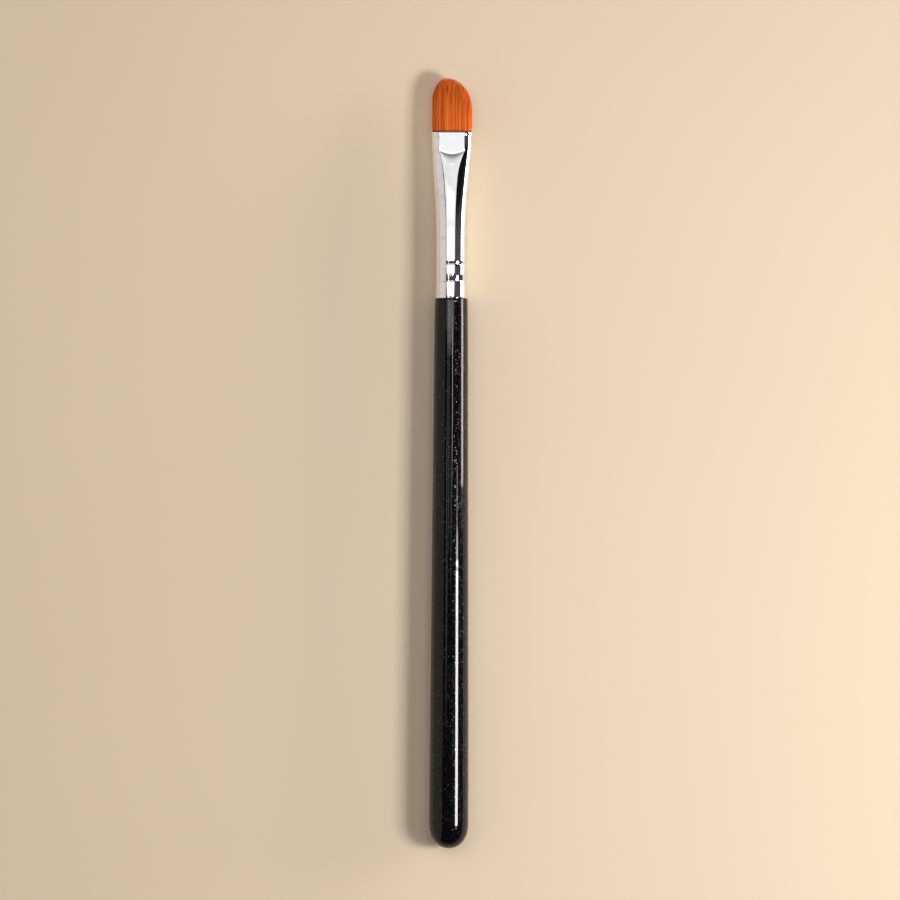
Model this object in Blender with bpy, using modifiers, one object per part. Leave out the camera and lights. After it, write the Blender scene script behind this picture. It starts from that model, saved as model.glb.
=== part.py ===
"""A concealer brush: lacquered wooden handle, crimped metal ferrule and a flat, slanted tuft of filaments.

The brush lies on its handle with its head flat, as on a table. The origin is the bottom centre of its box:
+Y runs to the tip of the tuft, +X to the right and +Z up. Lengths are in metres.

Every piece is modelled along one axis, from the butt of the handle (station 0) to the tip. In that frame
Z is the station, X the width of the flat head and Y its thickness; the empty brush_axis lays it down.
"""

import math
import random

import bmesh
import bpy

# The gap between pieces that touch on the real brush, and between glue and what it bonds.
FIT_GAP = 0.0003

# Handle, turned from one piece of wood. Stations are measured from its rounded butt.
HANDLE_LENGTH = 0.1212
BELLY_RADIUS = 0.00433
BELLY_END = 0.015
BUTT_LENGTH = 0.0056
BUTT_FULLNESS = 2.2
NECK_START = 0.104
NECK_SWELL = 0.00017
SHOULDER_STEP = 0.00005
SHOULDER_ROUND = 0.00015
TENON_LENGTH = 0.0128
TENON_CHAMFER = 0.0005

# Ferrule, one drawn tube: round at the handle, then spread by a slow flare to a parallel band at the mouth.
FERRULE_RADIUS = 0.00358
FERRULE_LENGTH = 0.0364
FERRULE_WALL = 0.00035
FLARE_START = 0.013
FLARE_EASE = 0.009
BAND_LENGTH = 0.0031
MOUTH_SPREAD = 0.00091
LIP_FLARE = 0.00014
LIP_LENGTH = 0.0006

# The two flats that the press leaves at the mouth, and the ramp that ends them.
PRESS_DEPTH = 0.00047
FLAT_LENGTH = 0.0047
RAMP_ANGLE = math.radians(50)

# Two crimped grooves lock the ferrule to the tenon. Each starts with a short step, measured from the
# ferrule's lower end, and has a floor and a slope out.
CRIMP_STEP = 0.00025
LOWER_CRIMP_START = 0.0035
LOWER_CRIMP_FLOOR = 0.0015
LOWER_CRIMP_SLOPE = 0.0003
LOWER_CRIMP_DEPTH = 0.00015
UPPER_CRIMP_START = 0.0073
UPPER_CRIMP_FLOOR = 0.0002
UPPER_CRIMP_SLOPE = 0.0008
UPPER_CRIMP_DEPTH = 0.00013

# Tuft of tapered filaments. Heights are measured from the mouth of the ferrule.
TUFT_LENGTH = 0.01209
TUFT_SIDE_INSET = 0.00003
TUFT_FACE_INSET = 0.00012
TUFT_TIP_HALF_THICKNESS = 0.0006
PEAK_OFFSET = -0.00121
LEFT_SHOULDER_HEIGHT = 0.007
RIGHT_SHOULDER_HEIGHT = 0.005
BELLY_HEIGHT = 0.001
FACE_SHORTENING = 0.28
TIP_SCATTER = 0.0002
STRAND_PITCH = 0.00024
STRAND_ROOT_RADIUS = 0.00009
STRAND_BELLY_RADIUS = 0.00012
STRAND_TIP_RADIUS = 0.00007

# The glue that holds the filaments: a slice that the strands grow from, and the plug of roots under it.
SLICE_DEPTH = 0.0003
SLICE_THICKNESS = 0.001
STRAND_ROOT_DEPTH = 0.0004
PLUG_LENGTH = 0.0076

# The drop of glue left on the nose of the tenon.
GLUE_THICKNESS = 0.0009
GLUE_DOME = 0.0005

# How finely the round shapes are cut. The brush lies steadily on one of the handle's sides.
TURNED_SIDES = 16
FERRULE_SIDES = 40
STRAND_SIDES = 3
CREASE_ANGLE = math.radians(35)
MERGE_DISTANCE = 0.000001

# Places and sizes that follow from the ones above.
FERRULE_START = HANDLE_LENGTH + FIT_GAP
MOUTH = FERRULE_START + FERRULE_LENGTH
FLAT_START = MOUTH - FLAT_LENGTH
BRUSH_LENGTH = MOUTH + TUFT_LENGTH
SHOULDER_RADIUS = FERRULE_RADIUS + SHOULDER_STEP
TENON_RADIUS = FERRULE_RADIUS - FERRULE_WALL - FIT_GAP
TENON_END = HANDLE_LENGTH + TENON_LENGTH
MOUTH_HALF_WIDTH = FERRULE_RADIUS + MOUTH_SPREAD
MOUTH_OVAL_THICKNESS = math.sqrt(2.0 * FERRULE_RADIUS**2 - MOUTH_HALF_WIDTH**2)
FLAT_HALF_THICKNESS = MOUTH_OVAL_THICKNESS - PRESS_DEPTH
RAMP_LENGTH = PRESS_DEPTH / math.tan(RAMP_ANGLE)
INNER_INSET = FERRULE_WALL + FIT_GAP
SLICE_TOP = MOUTH - SLICE_DEPTH
SLICE_BOTTOM = SLICE_TOP - SLICE_THICKNESS
PLUG_TOP = SLICE_BOTTOM - FIT_GAP
PLUG_BOTTOM = PLUG_TOP - PLUG_LENGTH
AXIS_HEIGHT = BELLY_RADIUS * math.cos(math.pi / TURNED_SIDES)
CRIMPS = (
    (LOWER_CRIMP_START, LOWER_CRIMP_FLOOR, LOWER_CRIMP_SLOPE, LOWER_CRIMP_DEPTH),
    (UPPER_CRIMP_START, UPPER_CRIMP_FLOOR, UPPER_CRIMP_SLOPE, UPPER_CRIMP_DEPTH),
)


def clear_scene():
    for obj in list(bpy.data.objects):
        bpy.data.objects.remove(obj)


def make_collection(name):
    made = bpy.data.collections.new(name)
    bpy.context.scene.collection.children.link(made)
    return made


def make_material(name, colour, roughness, metallic=0.0, coat=0.0):
    material = bpy.data.materials.new(name)
    material.use_nodes = True
    shader = material.node_tree.nodes["Principled BSDF"]
    shader.inputs["Base Color"].default_value = (*colour, 1.0)
    shader.inputs["Roughness"].default_value = roughness
    shader.inputs["Metallic"].default_value = metallic
    shader.inputs["Coat Weight"].default_value = coat
    material.diffuse_color = (*colour, 1.0)
    return material


def place(name, data, collection, parent, material):
    """Links a piece, hangs it on the brush's axis and gives it its finish."""
    data.materials.append(material)
    obj = bpy.data.objects.new(name, data)
    collection.objects.link(obj)
    obj.parent = parent
    return obj


def turned_mesh(name, profile):
    """An open profile of (radius, station) points, listed from its top to its bottom, for a Screw modifier."""
    mesh = bpy.data.meshes.new(name)
    points = [(radius, 0.0, station) for radius, station in profile]
    mesh.from_pydata(points, [(i, i + 1) for i in range(len(points) - 1)], [])
    return mesh


def turn(obj):
    """Turns the profile about the brush's axis, with a flat between two corners facing down."""
    screw = obj.modifiers.new("turn", "SCREW")
    screw.axis = "Z"
    screw.steps = TURNED_SIDES
    screw.render_steps = TURNED_SIDES
    screw.use_merge_vertices = True
    screw.merge_threshold = MERGE_DISTANCE
    screw.use_smooth_shade = True
    obj.rotation_euler = (0.0, 0.0, math.pi / TURNED_SIDES)


def loft_mesh(name, rings, capped):
    """Skins rings of points, listed from the lowest station to the highest, with faces that point outwards."""
    body = bmesh.new()
    loops = [[body.verts.new(point) for point in ring] for ring in rings]
    count = len(rings[0])
    for lower, upper in zip(loops[:-1], loops[1:]):
        for i in range(count):
            following = (i + 1) % count
            body.faces.new((lower[i], lower[following], upper[following], upper[i]))
    if capped:
        body.faces.new(list(reversed(loops[0])))
        body.faces.new(loops[-1])
    mesh = bpy.data.meshes.new(name)
    body.to_mesh(mesh)
    body.free()
    mesh.shade_smooth()
    mesh.set_sharp_from_angle(angle=CREASE_ANGLE)
    return mesh


def quarter_turn(points):
    """Angles from a quarter turn down to zero, with both ends."""
    return [0.5 * math.pi * (1.0 - i / points) for i in range(points + 1)]


def spread(start, end, spans):
    """Evenly spaced values from start to end, with both ends."""
    return [start + (end - start) * i / spans for i in range(spans + 1)]


# Handle


def handle_radius(station):
    """Radius above the butt: a belly, a straight taper, and a neck that closes in on the ferrule."""
    if station <= BELLY_END:
        return BELLY_RADIUS
    taper = (SHOULDER_RADIUS + NECK_SWELL - BELLY_RADIUS) / (NECK_START - BELLY_END)
    straight = BELLY_RADIUS + taper * (station - BELLY_END)
    if station <= NECK_START:
        return straight
    straight_end = BELLY_RADIUS + taper * (HANDLE_LENGTH - BELLY_END)
    share = (station - NECK_START) / (HANDLE_LENGTH - NECK_START)
    return straight + (SHOULDER_RADIUS - straight_end) * share**3


def tenon_profile():
    """The tenon inside the ferrule, from its nose down to the shoulder, with a groove under each crimp."""
    profile = [
        (0.0, TENON_END),
        (TENON_RADIUS - TENON_CHAMFER, TENON_END),
        (TENON_RADIUS, TENON_END - TENON_CHAMFER),
    ]
    for start, floor, slope, depth in reversed(CRIMPS):
        foot = FERRULE_START + start
        profile += [
            (TENON_RADIUS, foot + CRIMP_STEP + floor + slope),
            (TENON_RADIUS - depth, foot + CRIMP_STEP + floor),
            (TENON_RADIUS - depth, foot + CRIMP_STEP),
            (TENON_RADIUS, foot),
        ]
    profile.append((TENON_RADIUS, HANDLE_LENGTH))
    return profile


def shoulder_profile():
    """The small round between the shoulder's face and the neck."""
    centre_radius = SHOULDER_RADIUS - SHOULDER_ROUND
    centre_station = HANDLE_LENGTH - SHOULDER_ROUND
    return [
        (
            centre_radius + SHOULDER_ROUND * math.cos(angle),
            centre_station + SHOULDER_ROUND * math.sin(angle),
        )
        for angle in quarter_turn(3)
    ]


def butt_profile():
    """The rounded butt, a superellipse, from the belly down to the axis."""
    profile = []
    for angle in quarter_turn(9):
        across = math.sin(angle) ** (2.0 / BUTT_FULLNESS)
        along = max(0.0, math.cos(angle)) ** (2.0 / BUTT_FULLNESS)
        profile.append((BELLY_RADIUS * across, BUTT_LENGTH * (1.0 - along)))
    return profile


def make_handle(collection, parent):
    neck = spread(HANDLE_LENGTH - 2.0 * SHOULDER_ROUND, NECK_START, 6)
    taper = spread(NECK_START, BELLY_END, 3)[1:]
    sides = [(handle_radius(station), station) for station in neck + taper]
    profile = tenon_profile() + shoulder_profile() + sides + butt_profile()
    lacquer = make_material("black_lacquer", (0.004, 0.004, 0.005), 0.12, coat=1.0)
    handle = place("handle", turned_mesh("handle", profile), collection, parent, lacquer)
    turn(handle)
    return handle


# Ferrule


def flare(station):
    """Share of the mouth's spread at a station: none, an eased start, a straight flare, then the band."""
    run = station - (FERRULE_START + FLARE_START)
    longest = FERRULE_LENGTH - BAND_LENGTH - FLARE_START
    run = min(longest, max(0.0, run))
    if run < FLARE_EASE:
        grown = 0.5 * run * run / FLARE_EASE
    else:
        grown = run - 0.5 * FLARE_EASE
    return grown / (longest - 0.5 * FLARE_EASE)


def crimp_depth(station):
    """How far the crimps press the tube in at a station."""
    for start, floor, slope, depth in CRIMPS:
        along = station - (FERRULE_START + start)
        if 0.0 < along < CRIMP_STEP:
            return depth * along / CRIMP_STEP
        if CRIMP_STEP <= along <= CRIMP_STEP + floor:
            return depth
        if CRIMP_STEP + floor < along < CRIMP_STEP + floor + slope:
            return depth * (1.0 - (along - CRIMP_STEP - floor) / slope)
    return 0.0


def lip_flare(station):
    """How far the lip turns out at a station."""
    into_lip = max(0.0, 1.0 - (MOUTH - station) / LIP_LENGTH)
    return LIP_FLARE * into_lip**2


def ramp_foot(inset):
    """Station where the flat meets its ramp, on a surface that far inside the tube's outer face."""
    return FLAT_START - inset * math.tan(0.5 * RAMP_ANGLE)


def ferrule_section(station, inset):
    """Points round the tube at a station, that far inside its outer face.

    The tube turns from a circle to an oval of the same girth, and the press flattens the oval's two faces.
    """
    half_width = FERRULE_RADIUS + MOUTH_SPREAD * flare(station)
    half_thickness = math.sqrt(2.0 * FERRULE_RADIUS**2 - half_width**2)
    outward = lip_flare(station) - crimp_depth(station) - inset
    rise = max(0.0, ramp_foot(inset) - station) * math.tan(RAMP_ANGLE)
    pressed = FLAT_HALF_THICKNESS + lip_flare(station) - inset + rise
    ring = []
    for i in range(FERRULE_SIDES):
        angle = 2.0 * math.pi * (i + 0.5) / FERRULE_SIDES
        across = (half_width + outward) * math.cos(angle)
        through = (half_thickness + outward) * math.sin(angle)
        ring.append((across, max(-pressed, min(pressed, through)), station))
    return ring


def ferrule_stations():
    """Stations where the ferrule changes shape, from the handle to the mouth."""
    stations = [FERRULE_START]
    for start, floor, slope, _ in CRIMPS:
        foot = FERRULE_START + start
        floor_end = foot + CRIMP_STEP + floor
        stations += [foot, foot + CRIMP_STEP, floor_end, floor_end + slope]
    ramp_top = FLAT_START - 1.5 * RAMP_LENGTH
    stations += spread(FERRULE_START + FLARE_START, ramp_top, 7)
    stations += spread(FLAT_START - RAMP_LENGTH, FLAT_START, 2)
    stations += [MOUTH - BAND_LENGTH]
    stations += spread(MOUTH - LIP_LENGTH, MOUTH, 2)
    return stations


def make_ferrule(collection, parent):
    rings = [ferrule_section(station, 0.0) for station in ferrule_stations()]
    plating = make_material("bright_plating", (0.9, 0.9, 0.91), 0.08, metallic=1.0)
    ferrule = place("ferrule", loft_mesh("ferrule", rings, False), collection, parent, plating)
    wall = ferrule.modifiers.new("wall", "SOLIDIFY")
    wall.thickness = FERRULE_WALL
    wall.offset = -1.0
    wall.use_even_offset = True
    return ferrule


# Tuft, and the glue that holds it


def tuft_height(across):
    """Height of the slanted, rounded outline: two quarter ellipses that meet at the peak."""
    reach = MOUTH_HALF_WIDTH - TUFT_SIDE_INSET
    if across < PEAK_OFFSET:
        reach += PEAK_OFFSET
        shoulder = LEFT_SHOULDER_HEIGHT
    else:
        reach -= PEAK_OFFSET
        shoulder = RIGHT_SHOULDER_HEIGHT
    share = min(1.0, abs(across - PEAK_OFFSET) / reach)
    return shoulder + (TUFT_LENGTH - shoulder) * math.sqrt(1.0 - share * share)


def root_area():
    """Half width and half thickness of the area that the strands' roots fill, in the slice's top."""
    ring = ferrule_section(SLICE_TOP, INNER_INSET + STRAND_ROOT_RADIUS)
    return max(point[0] for point in ring), max(point[1] for point in ring)


def strand_places():
    """Places of the strands as shares of the root area's half width and half thickness, in staggered rows."""
    half_width, half_thickness = root_area()
    oval_share = (MOUTH_OVAL_THICKNESS - INNER_INSET - STRAND_ROOT_RADIUS) / half_thickness
    columns = round(half_width / STRAND_PITCH)
    rows = round(half_thickness / (STRAND_PITCH * math.sin(math.radians(60))))
    places = []
    for row in range(-rows, rows + 1):
        for column in range(-columns, columns + 1):
            u = (column + 0.5 * (row % 2)) / columns
            v = row / rows
            if u * u + (v / oval_share) ** 2 <= 1.0:
                places.append((u, v))
    return places


def strand_route(u, v, scatter):
    """Root, belly and tip of one strand. Strands spread and close in by the same rule, so none cross."""
    root_half_width, root_half_thickness = root_area()
    belly_half_width = MOUTH_HALF_WIDTH - TUFT_SIDE_INSET - STRAND_BELLY_RADIUS
    belly_half_thickness = FLAT_HALF_THICKNESS - TUFT_FACE_INSET - STRAND_BELLY_RADIUS
    across = u * belly_half_width
    height = tuft_height(across) * (1.0 - FACE_SHORTENING * v * v)
    height -= TIP_SCATTER * scatter.random()
    closing = (height - BELLY_HEIGHT) / (TUFT_LENGTH - BELLY_HEIGHT)
    tip_half_thickness = belly_half_thickness + closing * (
        TUFT_TIP_HALF_THICKNESS - belly_half_thickness
    )
    return (
        (u * root_half_width, v * root_half_thickness, SLICE_TOP - STRAND_ROOT_DEPTH),
        (across, v * belly_half_thickness, MOUTH + BELLY_HEIGHT),
        (across, v * tip_half_thickness, MOUTH + height),
    )


def make_strand_section():
    """A small regular outline that every strand is drawn with."""
    outline = bpy.data.curves.new("strand_section", "CURVE")
    outline.dimensions = "2D"
    spline = outline.splines.new("POLY")
    spline.points.add(STRAND_SIDES - 1)
    for i in range(STRAND_SIDES):
        angle = 2.0 * math.pi * i / STRAND_SIDES
        spline.points[i].co = (math.cos(angle), math.sin(angle), 0.0, 1.0)
    spline.use_cyclic_u = True
    return bpy.data.objects.new("strand_section", outline)


def make_strand_curve(section):
    """All the strands, each a spline of three points with its own radii."""
    curve = bpy.data.curves.new("strand_curve", "CURVE")
    curve.dimensions = "3D"
    curve.twist_mode = "MINIMUM"
    curve.bevel_mode = "OBJECT"
    curve.bevel_object = section
    curve.use_fill_caps = True
    scatter = random.Random(5)
    radii = (STRAND_ROOT_RADIUS, STRAND_BELLY_RADIUS, STRAND_TIP_RADIUS)
    places = strand_places()
    for u, v in places:
        route = strand_route(u, v, scatter)
        spline = curve.splines.new("POLY")
        spline.points.add(len(route) - 1)
        for point, centre, radius in zip(spline.points, route, radii):
            point.co = (*centre, 1.0)
            point.radius = radius
    print("strands:", len(places))
    return bpy.data.objects.new("strand_curve", curve)


def make_strands(helpers, parent):
    """The strands as closed prisms in one mesh, so that a Boolean can join them to their slice of glue."""
    section = make_strand_section()
    drawn = make_strand_curve(section)
    helpers.objects.link(section)
    helpers.objects.link(drawn)
    graph = bpy.context.evaluated_depsgraph_get()
    mesh = bpy.data.meshes.new_from_object(drawn.evaluated_get(graph))
    body = bmesh.new()
    body.from_mesh(mesh)
    bmesh.ops.remove_doubles(body, verts=body.verts, dist=MERGE_DISTANCE)
    bmesh.ops.recalc_face_normals(body, faces=body.faces)
    body.to_mesh(mesh)
    body.free()
    bpy.data.objects.remove(drawn)
    bpy.data.objects.remove(section)
    strands = bpy.data.objects.new("strands", mesh)
    strands.hide_render = True
    strands.display_type = "WIRE"
    strands.parent = parent
    helpers.objects.link(strands)
    return strands


def make_tuft(collection, helpers, parent):
    rings = [ferrule_section(station, INNER_INSET) for station in (SLICE_BOTTOM, SLICE_TOP)]
    filament = make_material("orange_filament", (0.56, 0.13, 0.025), 0.4)
    tuft = place("bristle_tuft", loft_mesh("bristle_tuft", rings, True), collection, parent, filament)
    union = tuft.modifiers.new("strands", "BOOLEAN")
    union.operation = "UNION"
    union.object = make_strands(helpers, parent)
    return tuft


def make_root_plug(collection, parent):
    """Filament roots set in glue, from under the slice down past the ramp of the pressed flats."""
    stations = spread(PLUG_BOTTOM, ramp_foot(INNER_INSET), 3) + [PLUG_TOP]
    rings = [ferrule_section(station, INNER_INSET) for station in stations]
    glue = make_material("amber_glue", (0.45, 0.22, 0.06), 0.3)
    return place("root_plug", loft_mesh("root_plug", rings, True), collection, parent, glue)


def make_handle_glue(collection, parent):
    """The drop of glue on the tenon's nose, with a domed top."""
    bottom = TENON_END + FIT_GAP
    rim = bottom + GLUE_THICKNESS - GLUE_DOME
    dome = [
        (TENON_RADIUS * math.cos(angle), rim + GLUE_DOME * math.sin(angle))
        for angle in quarter_turn(4)
    ]
    dome[0] = (0.0, rim + GLUE_DOME)
    profile = dome + [(TENON_RADIUS, bottom), (0.0, bottom)]
    glue = make_material("clear_glue", (0.7, 0.62, 0.42), 0.25)
    drop = place("handle_glue", turned_mesh("handle_glue", profile), collection, parent, glue)
    turn(drop)
    return drop


def main():
    clear_scene()
    collection = make_collection("concealer_brush")
    helpers = make_collection("helpers")
    axis = bpy.data.objects.new("brush_axis", None)
    axis.location = (0.0, -0.5 * BRUSH_LENGTH, AXIS_HEIGHT)
    axis.rotation_euler = (-0.5 * math.pi, 0.0, 0.0)
    collection.objects.link(axis)
    make_handle(collection, axis)
    make_ferrule(collection, axis)
    make_handle_glue(collection, axis)
    make_root_plug(collection, axis)
    make_tuft(collection, helpers, axis)


main()
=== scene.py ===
"""A concealer brush that lies on a plain pale surface, seen from straight above."""

import math

import bpy
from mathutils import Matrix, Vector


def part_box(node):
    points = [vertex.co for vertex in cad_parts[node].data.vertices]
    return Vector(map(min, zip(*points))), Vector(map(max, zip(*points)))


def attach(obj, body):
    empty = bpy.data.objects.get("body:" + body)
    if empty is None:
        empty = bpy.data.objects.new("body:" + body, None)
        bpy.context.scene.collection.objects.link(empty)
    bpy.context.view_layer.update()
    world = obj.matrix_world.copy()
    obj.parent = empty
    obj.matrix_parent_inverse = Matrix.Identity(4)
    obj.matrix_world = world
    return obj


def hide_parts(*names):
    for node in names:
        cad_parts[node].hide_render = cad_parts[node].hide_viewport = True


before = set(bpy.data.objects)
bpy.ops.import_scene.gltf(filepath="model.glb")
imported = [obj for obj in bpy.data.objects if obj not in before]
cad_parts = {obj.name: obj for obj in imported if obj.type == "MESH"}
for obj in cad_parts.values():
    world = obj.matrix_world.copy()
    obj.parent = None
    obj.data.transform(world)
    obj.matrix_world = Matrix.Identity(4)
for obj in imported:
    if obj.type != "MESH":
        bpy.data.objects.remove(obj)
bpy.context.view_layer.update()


# ----------------------------------------------------------------------------------------------
# Handle. A stick of turned wood, thickest near its rounded butt, dipped in gloss black lacquer
# that holds very fine coloured shimmer. Its upper end is a bare tenon that goes into the ferrule.
# ----------------------------------------------------------------------------------------------
MM = 0.001

handle_low, handle_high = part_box("handle")
ferrule_low, ferrule_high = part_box("ferrule")
BUTT_Y = handle_low.y
AXIS_HEIGHT = (handle_low.z + handle_high.z) / 2

# A station is a place along the brush, measured from the end of the butt.
FERRULE_START = ferrule_low.y - BUTT_Y
MOUTH = ferrule_high.y - BUTT_Y
TENON_END = handle_high.y - BUTT_Y
SHOULDER_GAP = 0.3 * MM
HANDLE_LENGTH = FERRULE_START - SHOULDER_GAP

BELLY_RADIUS = 4.33 * MM
BELLY_END = 15 * MM
BUTT_LENGTH = 5.6 * MM
BUTT_FULLNESS = 2.2
NECK_START = 104 * MM
NECK_SWELL = 0.17 * MM
SHOULDER_RADIUS = 3.63 * MM
SHOULDER_ROUND = 0.15 * MM
SHOULDER_RISE = 0.1 * MM
TENON_RADIUS = 2.93 * MM
TENON_CHAMFER = 0.5 * MM
TENON_FILLET = 0.1 * MM
LACQUER_RUN_IN = 0.6 * MM

# The crimps' places are measured from the ferrule's start, and the groove zone takes in both.
CRIMP_STEP = 0.25 * MM
CRIMP_ROUND = 0.03 * MM
CRIMP_CURVE = 1.4
LOWER_CRIMP = {"start": 3.35 * MM, "ramp": 1.6 * MM, "depth": 0.12 * MM}
UPPER_CRIMP = {"start": 7.1 * MM, "ramp": 0.78 * MM, "depth": 0.078 * MM}
GROOVE_ZONE = (3 * MM, 9 * MM)

# How finely the stick is cut, round and along it.
HANDLE_SIDES = 128
FIRST_BUTT_TURN = 0.03
BUTT_RINGS = 28
STICK_RINGS = 300
SHOULDER_RINGS = 6
GROOVE_RINGS = 60
SHARP_ANGLE = math.radians(50)

# The ripple fades out towards the butt's middle, and the rings at the tenon have none.
LACQUER_RIPPLE = 0.0008 * MM
RIPPLE_FADE_RADIUS = 2 * MM
STILL_RINGS = 4


def on_brush(across, station, up):
    """The place in the frame of a point beside the brush's axis."""
    return (across, BUTT_Y + station, AXIS_HEIGHT + up)


def steps(start, end, count):
    """Evenly spread values from start to end, both included."""
    return [start + (end - start) * i / count for i in range(count + 1)]


def smooth_step(low, high, value):
    """0 below low, 1 above high, and an even ease in between."""
    share = min(1, max(0, (value - low) / (high - low)))
    return share * share * (3 - 2 * share)


def skin(name, rings, closed=False):
    """A smooth mesh over rings of points. A closed one joins its last ring to its first, and an
    open one has a fan over each end."""
    sides, count = len(rings[0]), len(rings)
    points = [point for ring in rings for point in ring]
    faces = []
    for row in range(count if closed else count - 1):
        here, beyond = row * sides, (row + 1) % count * sides
        for i in range(sides):
            j = (i + 1) % sides
            faces.append((here + i, beyond + i, beyond + j, here + j))
    if not closed:
        for start, turn in ((0, 0), ((count - 1) * sides, 1)):
            ring = points[start : start + sides]
            points.append(tuple(sum(axis) / sides for axis in zip(*ring)))
            for i in range(sides):
                pair = (start + i, start + (i + 1) % sides)
                faces.append((len(points) - 1, pair[turn], pair[1 - turn]))
    mesh = bpy.data.meshes.new(name)
    mesh.from_pydata(points, [], faces)
    mesh.polygons.foreach_set("use_smooth", [True] * len(mesh.polygons))
    mesh.set_sharp_from_angle(angle=SHARP_ANGLE)
    piece = bpy.data.objects.new(name, mesh)
    bpy.context.scene.collection.objects.link(piece)
    return piece


def handle_radius(station):
    """The lacquered stick: straight over the belly, then an even taper that swells at the neck."""
    taper = (SHOULDER_RADIUS + NECK_SWELL - BELLY_RADIUS) / (NECK_START - BELLY_END)
    neck = max(0, station - NECK_START) / (HANDLE_LENGTH - NECK_START)
    straight_end = BELLY_RADIUS + taper * (HANDLE_LENGTH - BELLY_END)
    straight = BELLY_RADIUS + taper * max(0, station - BELLY_END)
    return straight + (SHOULDER_RADIUS - straight_end) * neck**3


def lacquer_ripple(station, angle):
    """The faint unevenness that a dipped coat dries with. Each wave has its length in mm, its
    turns round the stick, its shift and its height."""
    waves = ((7.3, 2, 0.0, 1.0), (4.1, -3, 1.3, 0.7), (2.7, 5, 4.1, 0.5), (3.3, -8, 2.2, 0.5))
    return LACQUER_RIPPLE * sum(
        height * math.sin(2 * math.pi * station / (length * MM) + turns * angle + shift)
        for length, turns, shift, height in waves
    )


def soft_least(a, b, width):
    """The smaller of two heights, with the corner where they meet rounded off."""
    near = max(0, width - abs(a - b)) / width
    return min(a, b) - near * near * width / 4


def crimp_depth(station):
    """How deep the rolled grooves are at a station. Each is a short step and a longer ramp."""
    deepest = 0
    for crimp in (LOWER_CRIMP, UPPER_CRIMP):
        start = FERRULE_START + crimp["start"]
        top = start + CRIMP_STEP + crimp["ramp"]
        step = crimp["depth"] * smooth_step(start, start + CRIMP_STEP, station)
        ramp = crimp["depth"] * max(0, (top - station) / crimp["ramp"]) ** CRIMP_CURVE
        deepest = max(deepest, soft_least(step, ramp, CRIMP_ROUND))
    return deepest


def handle_profile():
    """(radius, station) points from the butt to the tenon's end, and how many are lacquered."""
    profile = []
    for turn in steps(FIRST_BUTT_TURN, math.pi / 2, BUTT_RINGS):
        out = math.sin(turn) ** (2 / BUTT_FULLNESS)
        back = 1 - max(0, math.cos(turn)) ** (2 / BUTT_FULLNESS)
        profile.append((BELLY_RADIUS * out, BUTT_LENGTH * back))
    shoulder = HANDLE_LENGTH + SHOULDER_RISE
    for station in steps(BUTT_LENGTH, shoulder - SHOULDER_ROUND, STICK_RINGS)[1:]:
        profile.append((handle_radius(min(station, HANDLE_LENGTH)), station))
    corner = SHOULDER_RADIUS - SHOULDER_ROUND
    for turn in steps(0, math.pi / 2, SHOULDER_RINGS)[1:]:
        station = shoulder - SHOULDER_ROUND * (1 - math.sin(turn))
        profile.append((corner + SHOULDER_ROUND * math.cos(turn), station))
    profile.append((TENON_RADIUS + TENON_FILLET, shoulder))
    profile.append((TENON_RADIUS, shoulder + TENON_FILLET))
    profile.append((TENON_RADIUS, shoulder + LACQUER_RUN_IN))
    lacquered = len(profile)
    groove_start, groove_end = (FERRULE_START + place for place in GROOVE_ZONE)
    for station in steps(groove_start, groove_end, GROOVE_RINGS):
        profile.append((TENON_RADIUS - crimp_depth(station), station))
    profile.append((TENON_RADIUS, TENON_END - TENON_CHAMFER))
    profile.append((TENON_RADIUS - TENON_CHAMFER, TENON_END))
    return profile, lacquered


profile, lacquered_rings = handle_profile()
handle_angles = [2 * math.pi * i / HANDLE_SIDES for i in range(HANDLE_SIDES)]
handle_rings = []
for index, (radius, station) in enumerate(profile):
    rippled = 1 if index < lacquered_rings - STILL_RINGS else 0
    ease = min(1, radius / RIPPLE_FADE_RADIUS)
    ring = []
    for angle in handle_angles:
        out = radius + rippled * ease * lacquer_ripple(station, angle)
        ring.append(on_brush(out * math.cos(angle), station, out * math.sin(angle)))
    handle_rings.append(ring)
handle = skin("lacquered_handle", handle_rings)


def pick(sockets, key):
    """A socket by its number, or the one in use that has this name."""
    if isinstance(key, int):
        return sockets[key]
    return next(socket for socket in sockets if socket.name == key and socket.enabled)


def node(tree, kind, inputs=None, out=0, **settings):
    """Adds a node and returns one of its outputs. An input is a value or another node's output."""
    made = tree.nodes.new(kind)
    for name, value in settings.items():
        setattr(made, name, value)
    for key, value in (inputs or {}).items():
        socket = pick(made.inputs, key)
        if isinstance(value, bpy.types.NodeSocket):
            tree.links.new(value, socket)
        else:
            socket.default_value = value
    return pick(made.outputs, out)


def calc(tree, operation, *values, clamp=False):
    """A sum on numbers or sockets, as one Math node."""
    kind = "ShaderNodeMath"
    return node(tree, kind, dict(enumerate(values)), operation=operation, use_clamp=clamp)


def blend(tree, share, low, high):
    """A colour between low and high."""
    kind = "ShaderNodeMix"
    inputs = {"Factor": share, "A": low, "B": high}
    return node(tree, kind, inputs, out="Result", data_type="RGBA")


def ease_between(tree, value, low, high, start=0.0, end=1.0):
    """Maps a value from low…high to start…end with an even ease."""
    inputs = {"Value": value, "From Min": low, "From Max": high, "To Min": start, "To Max": end}
    return node(tree, "ShaderNodeMapRange", inputs, interpolation_type="SMOOTHSTEP")


def object_place(tree):
    """The place on the piece, in metres."""
    return node(tree, "ShaderNodeTexCoord", out="Object")


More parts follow.
